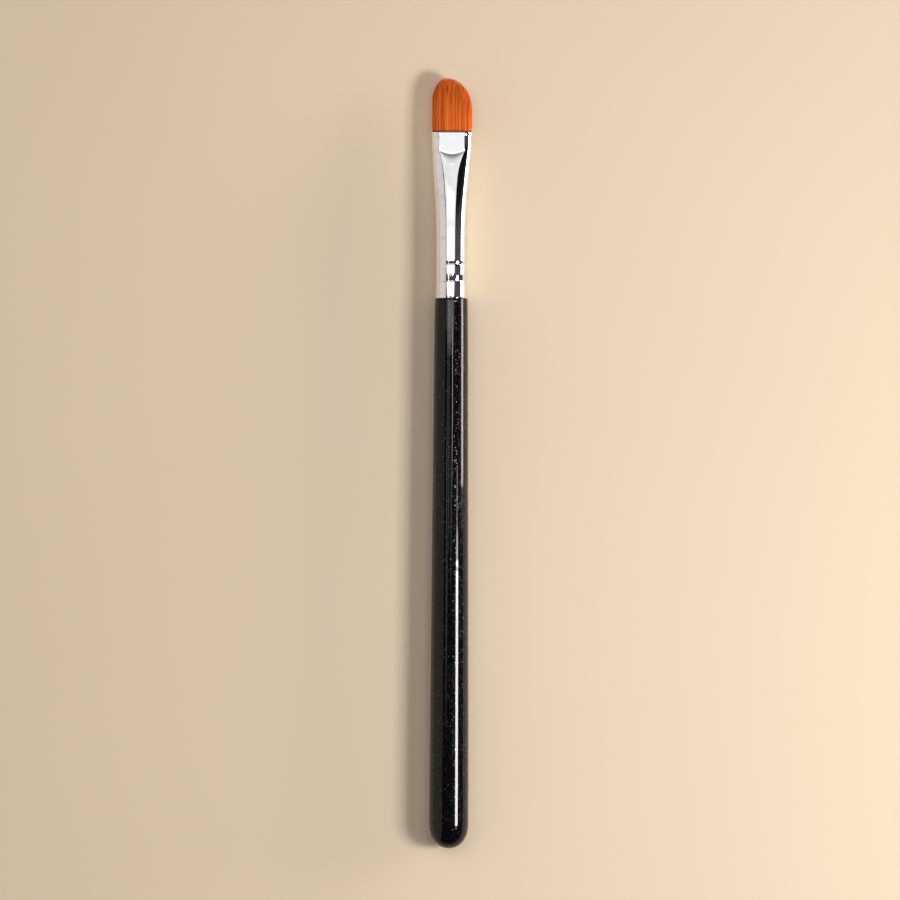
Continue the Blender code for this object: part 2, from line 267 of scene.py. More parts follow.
def new_group(name, inputs, outputs):
    """A shader group with named number inputs and outputs: its tree, its inputs and its end."""
    group = bpy.data.node_groups.new(name, "ShaderNodeTree")
    for title, value in inputs.items():
        socket = group.interface.new_socket(title, in_out="INPUT", socket_type="NodeSocketFloat")
        socket.default_value = value
    for title in outputs:
        group.interface.new_socket(title, in_out="OUTPUT", socket_type="NodeSocketFloat")
    return group, group.nodes.new("NodeGroupInput"), group.nodes.new("NodeGroupOutput")


# Marks that handling leaves on a polished surface: dull patches, and hairlines along the brush.
HAIRLINE_STRETCH = (1, 0.012, 1)

handling_marks, given, result = new_group(
    "handling_marks",
    {"Patch Size": 6 * MM, "Hairline Width": 0.08 * MM},
    ("Dull Patches", "Hairlines"),
)
place = object_place(handling_marks)
patch_scale = calc(handling_marks, "DIVIDE", 1.0, given.outputs["Patch Size"])
patches = node(
    handling_marks,
    "ShaderNodeTexNoise",
    {"Vector": place, "Scale": patch_scale, "Detail": 4.0, "Roughness": 0.6},
)
handling_marks.links.new(
    ease_between(handling_marks, patches, 0.45, 0.75), result.inputs["Dull Patches"]
)
drawn_out = node(
    handling_marks, "ShaderNodeMapping", {"Vector": place, "Scale": HAIRLINE_STRETCH}
)
hairline_scale = calc(handling_marks, "DIVIDE", 1.0, given.outputs["Hairline Width"])
hairlines = node(
    handling_marks,
    "ShaderNodeTexNoise",
    {"Vector": drawn_out, "Scale": hairline_scale, "Detail": 2.0},
)
handling_marks.links.new(hairlines, result.inputs["Hairlines"])


def new_material(name):
    """A material with its tree and its Principled shader."""
    material = bpy.data.materials.new(name)
    material.use_nodes = True
    return material, material.node_tree, material.node_tree.nodes["Principled BSDF"]


def use_group(tree, group, **values):
    """Places a shader group in a material, with its own values."""
    placed = tree.nodes.new("ShaderNodeGroup")
    placed.node_tree = group
    for title, value in values.items():
        placed.inputs[title.replace("_", " ")].default_value = value
    return placed


def wire(tree, shader, **sources):
    """Feeds a shader's inputs: a socket is linked, and a value is set."""
    for title, source in sources.items():
        socket = shader.inputs[title.replace("_", " ")]
        if isinstance(source, bpy.types.NodeSocket):
            tree.links.new(source, socket)
        else:
            socket.default_value = source


# Gloss black lacquer: a clear coat over black that holds tiny tilted flakes of many colours.
# Most flakes are dim, and the few that glint are the ones that a steep power leaves bright.
FLAKE_SIZE = 0.18 * MM
FLAKE_SHARE = 0.3
FLAKE_TILT = 0.4
FLAKE_METAL = 0.9
FLAKE_COLOURFULNESS = 0.35
FLAKE_POLISH = -0.12
DIM_FLAKE = 0.002
GLINTING_FLAKE = 0.1
GLINT_STEEPNESS = 9.0
LACQUER_BLACK = (0.001, 0.001, 0.0013, 1)
LACQUER_ROUGHNESS = 0.4
PATCH_DULLNESS = 0.08

lacquer, tree, shader = new_material("gloss_black_lacquer")
flakes = node(
    tree,
    "ShaderNodeTexVoronoi",
    {"Vector": object_place(tree), "Scale": 1 / FLAKE_SIZE},
    out="Color",
)
chance = node(tree, "ShaderNodeSeparateColor", {"Color": flakes}, out="Red")
is_flake = calc(tree, "GREATER_THAN", chance, 1 - FLAKE_SHARE)
off_centre = node(
    tree, "ShaderNodeVectorMath", {0: flakes, 1: (0.5, 0.5, 0.5)}, operation="SUBTRACT"
)
tilt = node(
    tree,
    "ShaderNodeVectorMath",
    {0: off_centre, "Scale": calc(tree, "MULTIPLY", is_flake, FLAKE_TILT)},
    operation="SCALE",
)
upright = node(tree, "ShaderNodeNewGeometry", out="Normal")
leaning = node(tree, "ShaderNodeVectorMath", {0: upright, 1: tilt}, operation="ADD")
flake_normal = node(tree, "ShaderNodeVectorMath", {0: leaning}, operation="NORMALIZE")
hue = node(tree, "ShaderNodeSeparateColor", {"Color": flakes}, out="Green")
glint = node(tree, "ShaderNodeSeparateColor", {"Color": flakes}, out="Blue")
glint = calc(tree, "POWER", glint, GLINT_STEEPNESS)
flake_brightness = calc(tree, "MULTIPLY_ADD", glint, GLINTING_FLAKE, DIM_FLAKE)
flake_colour = node(
    tree,
    "ShaderNodeCombineColor",
    {"Red": hue, "Green": FLAKE_COLOURFULNESS, "Blue": flake_brightness},
    mode="HSV",
)
marks = use_group(tree, handling_marks, Patch_Size=9 * MM, Hairline_Width=0.1 * MM)
dull_patches = marks.outputs["Dull Patches"]
dulled = calc(tree, "MULTIPLY_ADD", dull_patches, PATCH_DULLNESS, LACQUER_ROUGHNESS)
wire(
    tree,
    shader,
    Base_Color=blend(tree, is_flake, LACQUER_BLACK, flake_colour),
    Metallic=calc(tree, "MULTIPLY", is_flake, FLAKE_METAL),
    Roughness=calc(tree, "MULTIPLY_ADD", is_flake, FLAKE_POLISH, dulled),
    Normal=flake_normal,
    Specular_IOR_Level=0.0,
    Coat_Weight=1.0,
    Coat_Roughness=0.03,
    Coat_IOR=1.36,
)

# Grain that runs along the brush, for bare wood and for filament roots set in resin.
lengthwise_grain, given, result = new_group(
    "lengthwise_grain", {"Grain Width": 0.4 * MM, "Stretch": 12.0}, ("Grain", "Fine Grain")
)
place = object_place(lengthwise_grain)
squeezed = calc(lengthwise_grain, "DIVIDE", 1.0, given.outputs["Stretch"])
grain_shape = node(lengthwise_grain, "ShaderNodeCombineXYZ", {"X": 1.0, "Y": squeezed, "Z": 1.0})
drawn_out = node(
    lengthwise_grain, "ShaderNodeVectorMath", {0: place, 1: grain_shape}, operation="MULTIPLY"
)
grain_scale = calc(lengthwise_grain, "DIVIDE", 1.0, given.outputs["Grain Width"])
for title, times in (("Grain", 1.0), ("Fine Grain", 3.7)):
    grain = node(
        lengthwise_grain,
        "ShaderNodeTexNoise",
        {
            "Vector": drawn_out,
            "Scale": calc(lengthwise_grain, "MULTIPLY", grain_scale, times),
            "Detail": 3.0,
            "Distortion": 0.4,
        },
    )
    lengthwise_grain.links.new(grain, result.inputs[title])

# Bare wood on the tenon: lighter and darker grain, with fine pores along it.
DARK_GRAIN = (0.36, 0.2, 0.09, 1)
LIGHT_GRAIN = (0.62, 0.42, 0.23, 1)

bare_wood, tree, shader = new_material("bare_turned_wood")
grain = use_group(tree, lengthwise_grain, Grain_Width=0.35 * MM, Stretch=14.0)
light_and_dark = ease_between(tree, grain.outputs["Grain"], 0.35, 0.65)
wood_colour = blend(tree, light_and_dark, DARK_GRAIN, LIGHT_GRAIN)
pores = node(
    tree,
    "ShaderNodeBump",
    {"Height": grain.outputs["Fine Grain"], "Strength": 0.4, "Distance": 0.03 * MM},
)
wire(tree, shader, Base_Color=wood_colour, Roughness=0.7, Normal=pores)

handle.data.materials.append(lacquer)
handle.data.materials.append(bare_wood)
lacquered_faces = (lacquered_rings - 1) * HANDLE_SIDES
wood_faces = (len(handle_rings) - 1) * HANDLE_SIDES
for face in handle.data.polygons:
    tenon_cap = face.index >= wood_faces + HANDLE_SIDES
    face.material_index = int(tenon_cap or lacquered_faces <= face.index < wood_faces)

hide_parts("handle")
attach(handle, "root")


# ----------------------------------------------------------------------------------------------
# Ferrule. A thin drawn tube with bright plating. Its round lower end is crimped twice onto the
# tenon, and its upper end is pressed oval, with a flat panel on each face and a flared lip.
# ----------------------------------------------------------------------------------------------
FERRULE_RADIUS = 3.58 * MM
FERRULE_WALL = 0.35 * MM
FLARE_START = 13 * MM
FLARE_EASE = 9 * MM
BAND_LENGTH = 3.1 * MM
MOUTH_SPREAD = 0.91 * MM
LIP_STAND = 0.16 * MM
LIP_START = 0.75 * MM
LIP_STEP = 0.3 * MM
LIP_ROUND_LENGTH = 0.34 * MM
PRESS_DEPTH = 0.47 * MM
PANEL_LENGTH = 4.7 * MM
PANEL_CORNER = 0.1 / MM
CREASE_LENGTH = 0.35 * MM
DISH_LENGTH = 1.3 * MM
DISH_HALF_WIDTH = 2.7 * MM
LEAST_DISH_SHARE = 0.15
PANEL_EDGE_ROUND = 0.12 * MM
RIM_ROUND = 0.03 * MM
RIM_DROP = 0.12 * MM
INNER_RIM_LENGTH = 0.05 * MM
INNER_RIM_STEPS = (0.02 * MM, 0.08 * MM)

# How finely the tube is cut. Each zone has its start, its end and its rings: the crimps' are
# measured up from the ferrule's start, and the crease's down from the mouth. The inside has one
# ring for every few of the outside's.
FERRULE_SIDES = 192
RIM_RINGS = 6
LIP_RINGS = 16
LOWER_CRIMP_ZONE = (3.3 * MM, 5.8 * MM, 50)
UPPER_CRIMP_ZONE = (7.1 * MM, 8.8 * MM, 34)
FLARE_EASED = 24 * MM
CREASE_ZONE = (7 * MM, 3.6 * MM, 50)
INNER_COARSENESS = 5

FERRULE_LENGTH = MOUTH - FERRULE_START


def flare(station):
    """0 on the round part of the ferrule, 1 on the band below its mouth."""
    longest = FERRULE_LENGTH - BAND_LENGTH - FLARE_START
    run = min(longest, max(0, station - FERRULE_START - FLARE_START))
    grown = run * run / (2 * FLARE_EASE) if run < FLARE_EASE else run - FLARE_EASE / 2
    return grown / (longest - FLARE_EASE / 2)


def oval(station):
    """Half width and half thickness of the tube. It keeps its girth while it is pressed."""
    half_width = FERRULE_RADIUS + MOUTH_SPREAD * flare(station)
    return half_width, math.sqrt(2 * FERRULE_RADIUS**2 - half_width**2)


def lip_stand(station):
    """How far the lip at the very mouth stands out at the tube's two sides."""
    start = MOUTH - LIP_START
    return LIP_STAND * smooth_step(start, start + LIP_STEP, station)


PANEL_HEIGHT = oval(MOUTH)[1] - PRESS_DEPTH


def unpressed_share(across, station):
    """0 on the flat panel, rising to 1 below it, where the tube comes back to its own form. Past
    the soft crease the rise is a dish, longest in the middle of the panel."""
    below = MOUTH - PANEL_LENGTH + PANEL_CORNER * across**2 - station
    in_crease = min(CREASE_LENGTH, max(0, below))
    in_dish = max(0, below - CREASE_LENGTH)
    length = DISH_LENGTH * max(LEAST_DISH_SHARE, 1 - (across / DISH_HALF_WIDTH) ** 2)
    rise = in_crease**2 / (2 * CREASE_LENGTH) + length * (1 - math.exp(-in_dish / length))
    return rise / (CREASE_LENGTH / 2 + length)


def ferrule_ring(station, inset=0.0, sides=FERRULE_SIDES):
    """Points around the tube at a station, inset from its outer face."""
    half_width, half_thickness = oval(station)
    out = -crimp_depth(station) - inset
    ring = []
    for i in range(sides):
        turn = 2 * math.pi * i / sides
        across = (half_width + lip_stand(station) + out) * math.cos(turn)
        up = (half_thickness + out) * math.sin(turn)
        pressed = soft_least(abs(up), PANEL_HEIGHT - inset, PANEL_EDGE_ROUND)
        height = pressed + (abs(up) - pressed) * unpressed_share(across, station)
        ring.append(on_brush(across, station, math.copysign(height, up)))
    return ring


def ferrule_rings():
    """The tube's rings: up its outside, over the lip, down its inside and round the lower rim."""
    start, end = FERRULE_START - RIM_DROP, MOUTH
    rings = []
    for turn in steps(0, math.pi / 2, RIM_RINGS)[:-1]:
        rings.append((start + RIM_ROUND * (1 - math.cos(turn)), RIM_ROUND * (1 - math.sin(turn))))
    lower_start, lower_end, lower_count = LOWER_CRIMP_ZONE
    upper_start, upper_end, upper_count = UPPER_CRIMP_ZONE
    crease_start, crease_end, crease_count = CREASE_ZONE
    spans = (
        (start + RIM_ROUND, FERRULE_START + lower_start, 6),
        (FERRULE_START + lower_start, FERRULE_START + lower_end, lower_count),
        (FERRULE_START + lower_end, FERRULE_START + upper_start, 4),
        (FERRULE_START + upper_start, FERRULE_START + upper_end, upper_count),
        (FERRULE_START + upper_end, FERRULE_START + FLARE_EASED, 26),
        (FERRULE_START + FLARE_EASED, MOUTH - crease_start, 14),
        (MOUTH - crease_start, MOUTH - crease_end, crease_count),
        (MOUTH - crease_end, MOUTH - LIP_START, 9),
        (MOUTH - LIP_START, MOUTH - LIP_ROUND_LENGTH, 10),
    )
    for low, high, count in spans:
        rings += [(station, 0.0) for station in steps(low, high, count)[:-1]]
    half_wall = FERRULE_WALL / 2
    for turn in steps(0, math.pi, LIP_RINGS):
        length = LIP_ROUND_LENGTH if turn < math.pi / 2 else half_wall
        rings.append((end - length * (1 - math.sin(turn)), half_wall * (1 - math.cos(turn))))
    for low, high, count in reversed(spans):
        few = max(1, count // INNER_COARSENESS)
        rings += [(station, FERRULE_WALL) for station in steps(high, low, few)[1:]]
    rings.append((start + INNER_RIM_LENGTH, FERRULE_WALL - INNER_RIM_STEPS[0]))
    rings.append((start, FERRULE_WALL - INNER_RIM_STEPS[1]))
    return [ferrule_ring(station, inset) for station, inset in rings]


ferrule = skin("plated_ferrule", ferrule_rings(), closed=True)

# Bright plating: a mirror with faint hairlines along the draw and slightly duller patches.
CLEAN_PLATING = (0.91, 0.91, 0.92, 1)
HANDLED_PLATING = (0.78, 0.78, 0.79, 1)
PLATING_ROUGHNESS = 0.045
HANDLED_ROUGHNESS = 0.03

plating, tree, shader = new_material("mirror_plating")
marks = use_group(tree, handling_marks, Patch_Size=2.4 * MM, Hairline_Width=0.06 * MM)
dull_patches = marks.outputs["Dull Patches"]
hairline_bump = node(
    tree,
    "ShaderNodeBump",
    {"Height": marks.outputs["Hairlines"], "Strength": 0.03, "Distance": 0.002 * MM},
)
wire(
    tree,
    shader,
    Base_Color=blend(tree, dull_patches, CLEAN_PLATING, HANDLED_PLATING),
    Metallic=1.0,
    Roughness=calc(tree, "MULTIPLY_ADD", dull_patches, HANDLED_ROUGHNESS, PLATING_ROUGHNESS),
    Normal=hairline_bump,
)
ferrule.data.materials.append(plating)

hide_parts("ferrule")
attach(ferrule, "root")


# ----------------------------------------------------------------------------------------------
# Tuft. Some two thousand tapered synthetic filaments, set in resin inside the ferrule. They fan
# out at once past the lip and are cut and rounded on a slant, with the peak to the left.
# ----------------------------------------------------------------------------------------------
FILAMENT_COUNT = 2000
TUFT_SIZES = {
    "Root Half Width": 4.1 * MM,
    "Root Half Thickness": 1.5 * MM,
    "Belly Half Width": 4.43 * MM,
    "Belly Half Thickness": 1.75 * MM,
    "Tip Half Thickness": 0.55 * MM,
    "Tuft Length": 12.09 * MM,
    "Peak Offset": -1.21 * MM,
    "Left Shoulder": 7 * MM,
    "Right Shoulder": 5 * MM,
    "Face Shortening": 0.22,
    "Tip Scatter": 0.3 * MM,
    "Lock Scatter": 3.2 * MM,
    "Root Depth": 0.6 * MM,
    "Belly Start": -0.15 * MM,
    "Belly Height": 0.7 * MM,
    "Filament Radius": 0.064 * MM,
    "Tip Radius": 0.014 * MM,
    "Lock Bend": 0.16 * MM,
    "Stray Bend": 0.07 * MM,
    "Squareness": 2.7,
    "Mouth Place": BUTT_Y + MOUTH,
    "Axis Height": AXIS_HEIGHT,
}
TUFT_SEED = 7
FILAMENT_SIDES = 5
FILAMENT_POINTS = 8

# The roots lie on a spiral, shifted by a share of the room that each has. A higher power keeps
# the filaments thick, and the tuft's faces apart, until nearer the tip.
GOLDEN_TURN = math.pi * (3 - math.sqrt(5))
ROOT_JITTER = 0.6
FILAMENT_TAPER = 2.2
FACE_CLOSING = 1.5

# The noise that gathers filaments into locks, and between which of its values they are short.
LOCK_FINENESS = 11.0
SHORT_LOCKS = (0.4, 0.65)

tuft_tree = bpy.data.node_groups.new("tapered_filaments", "GeometryNodeTree")
tuft_tree.is_modifier = True
sockets = {}
for title, kind, value in (
    ("Filament Count", "NodeSocketInt", FILAMENT_COUNT),
    ("Seed", "NodeSocketInt", TUFT_SEED),
    *((title, "NodeSocketFloat", value) for title, value in TUFT_SIZES.items()),
    ("Material", "NodeSocketMaterial", None),
):
    sockets[title] = tuft_tree.interface.new_socket(title, in_out="INPUT", socket_type=kind)
    if value is not None:
        sockets[title].default_value = value
tuft_tree.interface.new_socket("Geometry", in_out="OUTPUT", socket_type="NodeSocketGeometry")
size = tuft_tree.nodes.new("NodeGroupInput").outputs


def sum_of(operation, *values):
    """A sum in the tuft's tree."""
    return calc(tuft_tree, operation, *values)


def chance_between(low, high, salt):
    """A random number for each filament."""
    inputs = {"Min": low, "Max": high, "Seed": sum_of("ADD", size["Seed"], salt)}
    return node(tuft_tree, "FunctionNodeRandomValue", inputs, out="Value", data_type="FLOAT")


def keep(geometry, title, value):
    """Stores a number on every point under a name."""
    inputs = {"Geometry": geometry, "Name": title, "Value": value}
    return node(tuft_tree, "GeometryNodeStoreNamedAttribute", inputs, data_type="FLOAT")


def kept(title):
    """Reads a stored number."""
    kind = "GeometryNodeInputNamedAttribute"
    return node(tuft_tree, kind, {"Name": title}, out="Attribute", data_type="FLOAT")


# The roots, as places in a full oval that reaches from -1 to 1 both ways.
order = sum_of("ADD", node(tuft_tree, "GeometryNodeInputIndex"), 0.5)
ring_share = sum_of("SQRT", sum_of("DIVIDE", order, size["Filament Count"]))
turn = sum_of("MULTIPLY", order, GOLDEN_TURN)
cosine, sine = sum_of("COSINE", turn), sum_of("SINE", turn)
fullness = sum_of(
    "ADD",
    sum_of("POWER", sum_of("ABSOLUTE", cosine), size["Squareness"]),
    sum_of("POWER", sum_of("ABSOLUTE", sine), size["Squareness"]),
)
reach = sum_of(
    "MULTIPLY",
    ring_share,
    sum_of("POWER", fullness, sum_of("DIVIDE", -1.0, size["Squareness"])),
)
jitter = ROOT_JITTER / math.sqrt(FILAMENT_COUNT)
root_place = node(
    tuft_tree,
    "ShaderNodeCombineXYZ",
    {
        "X": sum_of("ADD", sum_of("MULTIPLY", reach, cosine), chance_between(-jitter, jitter, 1)),
        "Y": sum_of("ADD", sum_of("MULTIPLY", reach, sine), chance_between(-jitter, jitter, 2)),
    },
)
roots = node(
    tuft_tree, "GeometryNodePoints", {"Count": size["Filament Count"], "Position": root_place}
)
roots = keep(roots, "filament_tone", chance_between(0.0, 1.0, 3))
roots = keep(roots, "stray_across", chance_between(-1.0, 1.0, 4))
roots = keep(roots, "stray_up", chance_between(-1.0, 1.0, 5))
roots = keep(roots, "shortness", chance_between(0.0, 1.0, 6))

# One straight filament of length 1 stands on each root, so a point's place is (u, v, share).
straight = node(tuft_tree, "GeometryNodeCurvePrimitiveLine", {"End": (0, 0, 1)})
straight = node(
    tuft_tree, "GeometryNodeResampleCurve", {"Curve": straight, "Count": FILAMENT_POINTS}
)
filaments = node(
    tuft_tree, "GeometryNodeInstanceOnPoints", {"Points": roots, "Instance": straight}
)
filaments = node(tuft_tree, "GeometryNodeRealizeInstances", {"Geometry": filaments})
grid = tuft_tree.nodes.new("ShaderNodeSeparateXYZ")
tuft_tree.links.new(node(tuft_tree, "GeometryNodeInputPosition"), grid.inputs[0])
u, v, share = grid.outputs

# Filaments that stand close together form a small lock.
lock_place = node(tuft_tree, "ShaderNodeCombineXYZ", {"X": u, "Y": v})
lock = node(
    tuft_tree,
    "ShaderNodeTexNoise",
    {"Vector": lock_place, "Scale": LOCK_FINENESS, "Detail": 1.0},
    out="Color",
)
locks = tuft_tree.nodes.new("ShaderNodeSeparateXYZ")
tuft_tree.links.new(lock, locks.inputs[0])

# How high each filament reaches: a rounded slant, lower towards the sides and the two faces.
across = sum_of("MULTIPLY", u, size["Belly Half Width"])
from_peak = sum_of("SUBTRACT", across, size["Peak Offset"])
on_right = sum_of("GREATER_THAN", from_peak, 0.0)


def by_side(left, right):
    """The left value left of the peak and the right one right of it."""
    return sum_of("MULTIPLY_ADD", on_right, sum_of("SUBTRACT", right, left), left)


side_reach = by_side(
    sum_of("ADD", size["Belly Half Width"], size["Peak Offset"]),
    sum_of("SUBTRACT", size["Belly Half Width"], size["Peak Offset"]),
)
aside = sum_of("MINIMUM", sum_of("DIVIDE", sum_of("ABSOLUTE", from_peak), side_reach), 1.0)
shoulder = by_side(size["Left Shoulder"], size["Right Shoulder"])
arch = sum_of("SQRT", sum_of("SUBTRACT", 1.0, sum_of("MULTIPLY", aside, aside)))
height = sum_of("MULTIPLY_ADD", sum_of("SUBTRACT", size["Tuft Length"], shoulder), arch, shoulder)
towards_face = sum_of("MULTIPLY", v, v)
shortened = sum_of("MULTIPLY", size["Face Shortening"], towards_face)
height = sum_of("MULTIPLY", height, sum_of("SUBTRACT", 1.0, shortened))
height = sum_of("SUBTRACT", height, sum_of("MULTIPLY", kept("shortness"), size["Tip Scatter"]))
short_lock = ease_between(tuft_tree, locks.outputs[1], *SHORT_LOCKS)
short_on_face = sum_of("MULTIPLY", towards_face, short_lock)
height = sum_of("SUBTRACT", height, sum_of("MULTIPLY", short_on_face, size["Lock Scatter"]))
whole_length = sum_of("ADD", height, size["Root Depth"])
root_place_along = sum_of("MULTIPLY", size["Root Depth"], -1.0)
above_mouth = sum_of("MULTIPLY_ADD", whole_length, share, root_place_along)
length_share = sum_of("MAXIMUM", sum_of("DIVIDE", above_mouth, size["Tuft Length"]), 0.0)

# The tuft's body: it fans out past the lip, and its faces close towards the tip.
fanned = ease_between(tuft_tree, above_mouth, size["Belly Start"], size["Belly Height"])
half_width = sum_of(
    "MULTIPLY_ADD",
    fanned,
    sum_of("SUBTRACT", size["Belly Half Width"], size["Root Half Width"]),
    size["Root Half Width"],
)
half_thickness = sum_of(
    "MULTIPLY_ADD",
    fanned,
    sum_of("SUBTRACT", size["Belly Half Thickness"], size["Root Half Thickness"]),
    size["Root Half Thickness"],
)
closing = sum_of(
    "MULTIPLY",
    sum_of("SUBTRACT", size["Belly Half Thickness"], size["Tip Half Thickness"]),
    sum_of("POWER", length_share, FACE_CLOSING),
)
half_thickness = sum_of("SUBTRACT", half_thickness, closing)

# Filaments lean together in their locks, and each strays a little of its own.
lean = sum_of("MULTIPLY", length_share, length_share)


def bent(lock_value, stray_name):
    """How far a point leans sideways: with its lock, and by itself."""
    with_lock = sum_of("MULTIPLY", sum_of("SUBTRACT", lock_value, 0.5), size["Lock Bend"])
    alone = sum_of("MULTIPLY", kept(stray_name), size["Stray Bend"])
    return sum_of("MULTIPLY", lean, sum_of("ADD", with_lock, alone))


straight_across = sum_of("MULTIPLY", u, half_width)
straight_up = sum_of("MULTIPLY_ADD", v, half_thickness, size["Axis Height"])
tuft_place = node(
    tuft_tree,
    "ShaderNodeCombineXYZ",
    {
        "X": sum_of("ADD", straight_across, bent(locks.outputs[0], "stray_across")),
        "Y": sum_of("ADD", above_mouth, size["Mouth Place"]),
        "Z": sum_of("ADD", straight_up, bent(locks.outputs[1], "stray_up")),
    },
)
tapering = sum_of("POWER", share, FILAMENT_TAPER)
thickness = sum_of(
    "MULTIPLY_ADD",
    tapering,
    sum_of("SUBTRACT", size["Tip Radius"], size["Filament Radius"]),
    size["Filament Radius"],
)
height_share = sum_of("DIVIDE", above_mouth, size["Tuft Length"])
filaments = keep(filaments, "height_share", height_share)
filaments = keep(filaments, "tip_share", share)
filaments = keep(filaments, "filament_thickness", thickness)
filaments = keep(filaments, "lock_tone", locks.outputs[2])
filaments = node(
    tuft_tree, "GeometryNodeSetPosition", {"Geometry": filaments, "Position": tuft_place}
)
section = node(
    tuft_tree, "GeometryNodeCurvePrimitiveCircle", {"Resolution": FILAMENT_SIDES, "Radius": 1.0}
)
filaments = node(
    tuft_tree,
    "GeometryNodeCurveToMesh",
    {
        "Curve": filaments,
        "Profile Curve": section,
        "Scale": kept("filament_thickness"),
        "Fill Caps": True,
    },
)
filaments = node(tuft_tree, "GeometryNodeRealizeInstances", {"Geometry": filaments})
filaments = node(
    tuft_tree, "GeometryNodeSetMaterial", {"Geometry": filaments, "Material": size["Material"]}
)
tuft_end = tuft_tree.nodes.new("NodeGroupOutput")
tuft_tree.links.new(filaments, tuft_end.inputs["Geometry"])

# Satin orange filament: each its own tone and a little redder at the tips, with shade painted
# dark brown at the lip, standing in for the shade that the filaments cast on each other there.
DEEP_ORANGE = (0.68, 0.105, 0.006, 1)
BRIGHT_ORANGE = (0.97, 0.25, 0.02, 1)
TIP_RED = (0.5, 0.07, 0.01, 1)
TIP_RED_SHARE = 0.2
TIP_START = 0.93
# The dark brown at the lip is painted shade, not the filaments' own colour.
LIP_PAINTED_SHADE = (0.22, 0.022, 0.003, 1)
LIP_PAINTED_SHADE_SHARE = 0.85
LIP_SHADE_FADES = (0.018, 0.04)

filament_plastic, tree, shader = new_material("satin_filament")


def stored(title):
    """Reads a number that the filaments carry."""
    return node(tree, "ShaderNodeAttribute", out="Fac", attribute_name=title)


lock_tone = ease_between(tree, stored("lock_tone"), 0.3, 0.7)
half_lock_tone = calc(tree, "MULTIPLY", lock_tone, 0.5)
own_tone = calc(tree, "MULTIPLY_ADD", stored("filament_tone"), 0.5, half_lock_tone)
filament_colour = blend(tree, ease_between(tree, own_tone, 0.2, 0.85), DEEP_ORANGE, BRIGHT_ORANGE)
near_tip = ease_between(tree, stored("tip_share"), TIP_START, 1.0)
redness = calc(tree, "MULTIPLY", near_tip, TIP_RED_SHARE)
filament_colour = blend(tree, redness, filament_colour, TIP_RED)
# Painted shade: the filaments are darkened towards the lip, as if shaded by each other.
near_lip = ease_between(tree, stored("height_share"), *LIP_SHADE_FADES, 1.0, 0.0)
shade = calc(tree, "MULTIPLY", near_lip, LIP_PAINTED_SHADE_SHARE)
filament_colour = blend(tree, shade, filament_colour, LIP_PAINTED_SHADE)
wire(tree, shader, Base_Color=filament_colour, Roughness=0.5, Specular_IOR_Level=0.25)

tuft = bpy.data.objects.new("filament_tuft", bpy.data.meshes.new("filament_tuft"))
bpy.context.scene.collection.objects.link(tuft)
growth = tuft.modifiers.new("tapered_filaments", "NODES")
growth.node_group = tuft_tree
growth[sockets["Filament Count"].identifier] = FILAMENT_COUNT
growth[sockets["Seed"].identifier] = TUFT_SEED
for title, value in TUFT_SIZES.items():
    growth[sockets[title].identifier] = value
growth[sockets["Material"].identifier] = filament_plastic
graph = bpy.context.evaluated_depsgraph_get()
grown = bpy.data.meshes.new_from_object(
    tuft.evaluated_get(graph), preserve_all_data_layers=True, depsgraph=graph
)
tuft.modifiers.clear()
tuft.data = grown
grown.polygons.foreach_set("use_smooth", [True] * len(grown.polygons))

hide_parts("bristle_tuft")
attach(tuft, "root")

# The bed of resin that the filaments come out of, just below the mouth.
BED_TOP = 0.3 * MM
BED_THICKNESS = 1 * MM
BED_GAP = 0.03 * MM
BED_EDGE_DROP = 0.1 * MM
BED_EDGE_INSET = 0.15 * MM
BED_SIDES = 96

bed_inset = FERRULE_WALL + BED_GAP
bed_top = MOUTH - BED_TOP
bed_rings = [
    ferrule_ring(bed_top - BED_THICKNESS, bed_inset, BED_SIDES),
    ferrule_ring(bed_top - BED_EDGE_DROP, bed_inset, BED_SIDES),
    ferrule_ring(bed_top, bed_inset + BED_EDGE_INSET, BED_SIDES),
]
bed = skin("resin_bed", bed_rings)

RESIN_AMBER = (0.5, 0.2, 0.045, 1)
ROOT_BROWN = (0.3, 0.06, 0.015, 1)

amber_resin, tree, shader = new_material("amber_resin")
grain = use_group(tree, lengthwise_grain, Grain_Width=0.14 * MM, Stretch=9.0)
fibre = ease_between(tree, grain.outputs["Grain"], 0.42, 0.62)
bubbles = node(
    tree,
    "ShaderNodeBump",
    {"Height": grain.outputs["Fine Grain"], "Strength": 0.3, "Distance": 0.02 * MM},
)
wire(
    tree,
    shader,
    Base_Color=blend(tree, fibre, RESIN_AMBER, ROOT_BROWN),
    Roughness=calc(tree, "MULTIPLY_ADD", fibre, 0.15, 0.18),
    Normal=bubbles,
    Coat_Weight=0.4,
    Coat_Roughness=0.1,
)
bed.data.materials.append(amber_resin)
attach(bed, "root")


# ----------------------------------------------------------------------------------------------
# Inside the ferrule. The roots are set in a plug of amber resin, and a drop of clear adhesive
# holds the tenon against it. Both were poured in and set hard, and neither shows from outside.
# ----------------------------------------------------------------------------------------------
CLEAR_GLUE = (0.72, 0.63, 0.42, 1)
CLOUDED_GLUE = (0.6, 0.47, 0.25, 1)

clear_adhesive, tree, shader = new_material("clear_adhesive")
marks = use_group(tree, handling_marks, Patch_Size=1.2 * MM, Hairline_Width=0.3 * MM)
clouds = marks.outputs["Dull Patches"]
wire(
    tree,
    shader,
    Base_Color=blend(tree, clouds, CLEAR_GLUE, CLOUDED_GLUE),
    Roughness=calc(tree, "MULTIPLY_ADD", clouds, 0.2, 0.12),
)
for name, material in (("root_plug", amber_resin), ("handle_glue", clear_adhesive)):
    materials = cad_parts[name].data.materials
    for index in range(len(materials)):
        materials[index] = material


# ----------------------------------------------------------------------------------------------
# The place of the photograph: a pale table, soft lamps over it, and a camera straight above.
# ----------------------------------------------------------------------------------------------
FLOOR_HALF = 3.0
TABLE_SHADE = (0.72, 0.59, 0.42, 1)
TABLE_LIGHT = (0.75, 0.62, 0.45, 1)

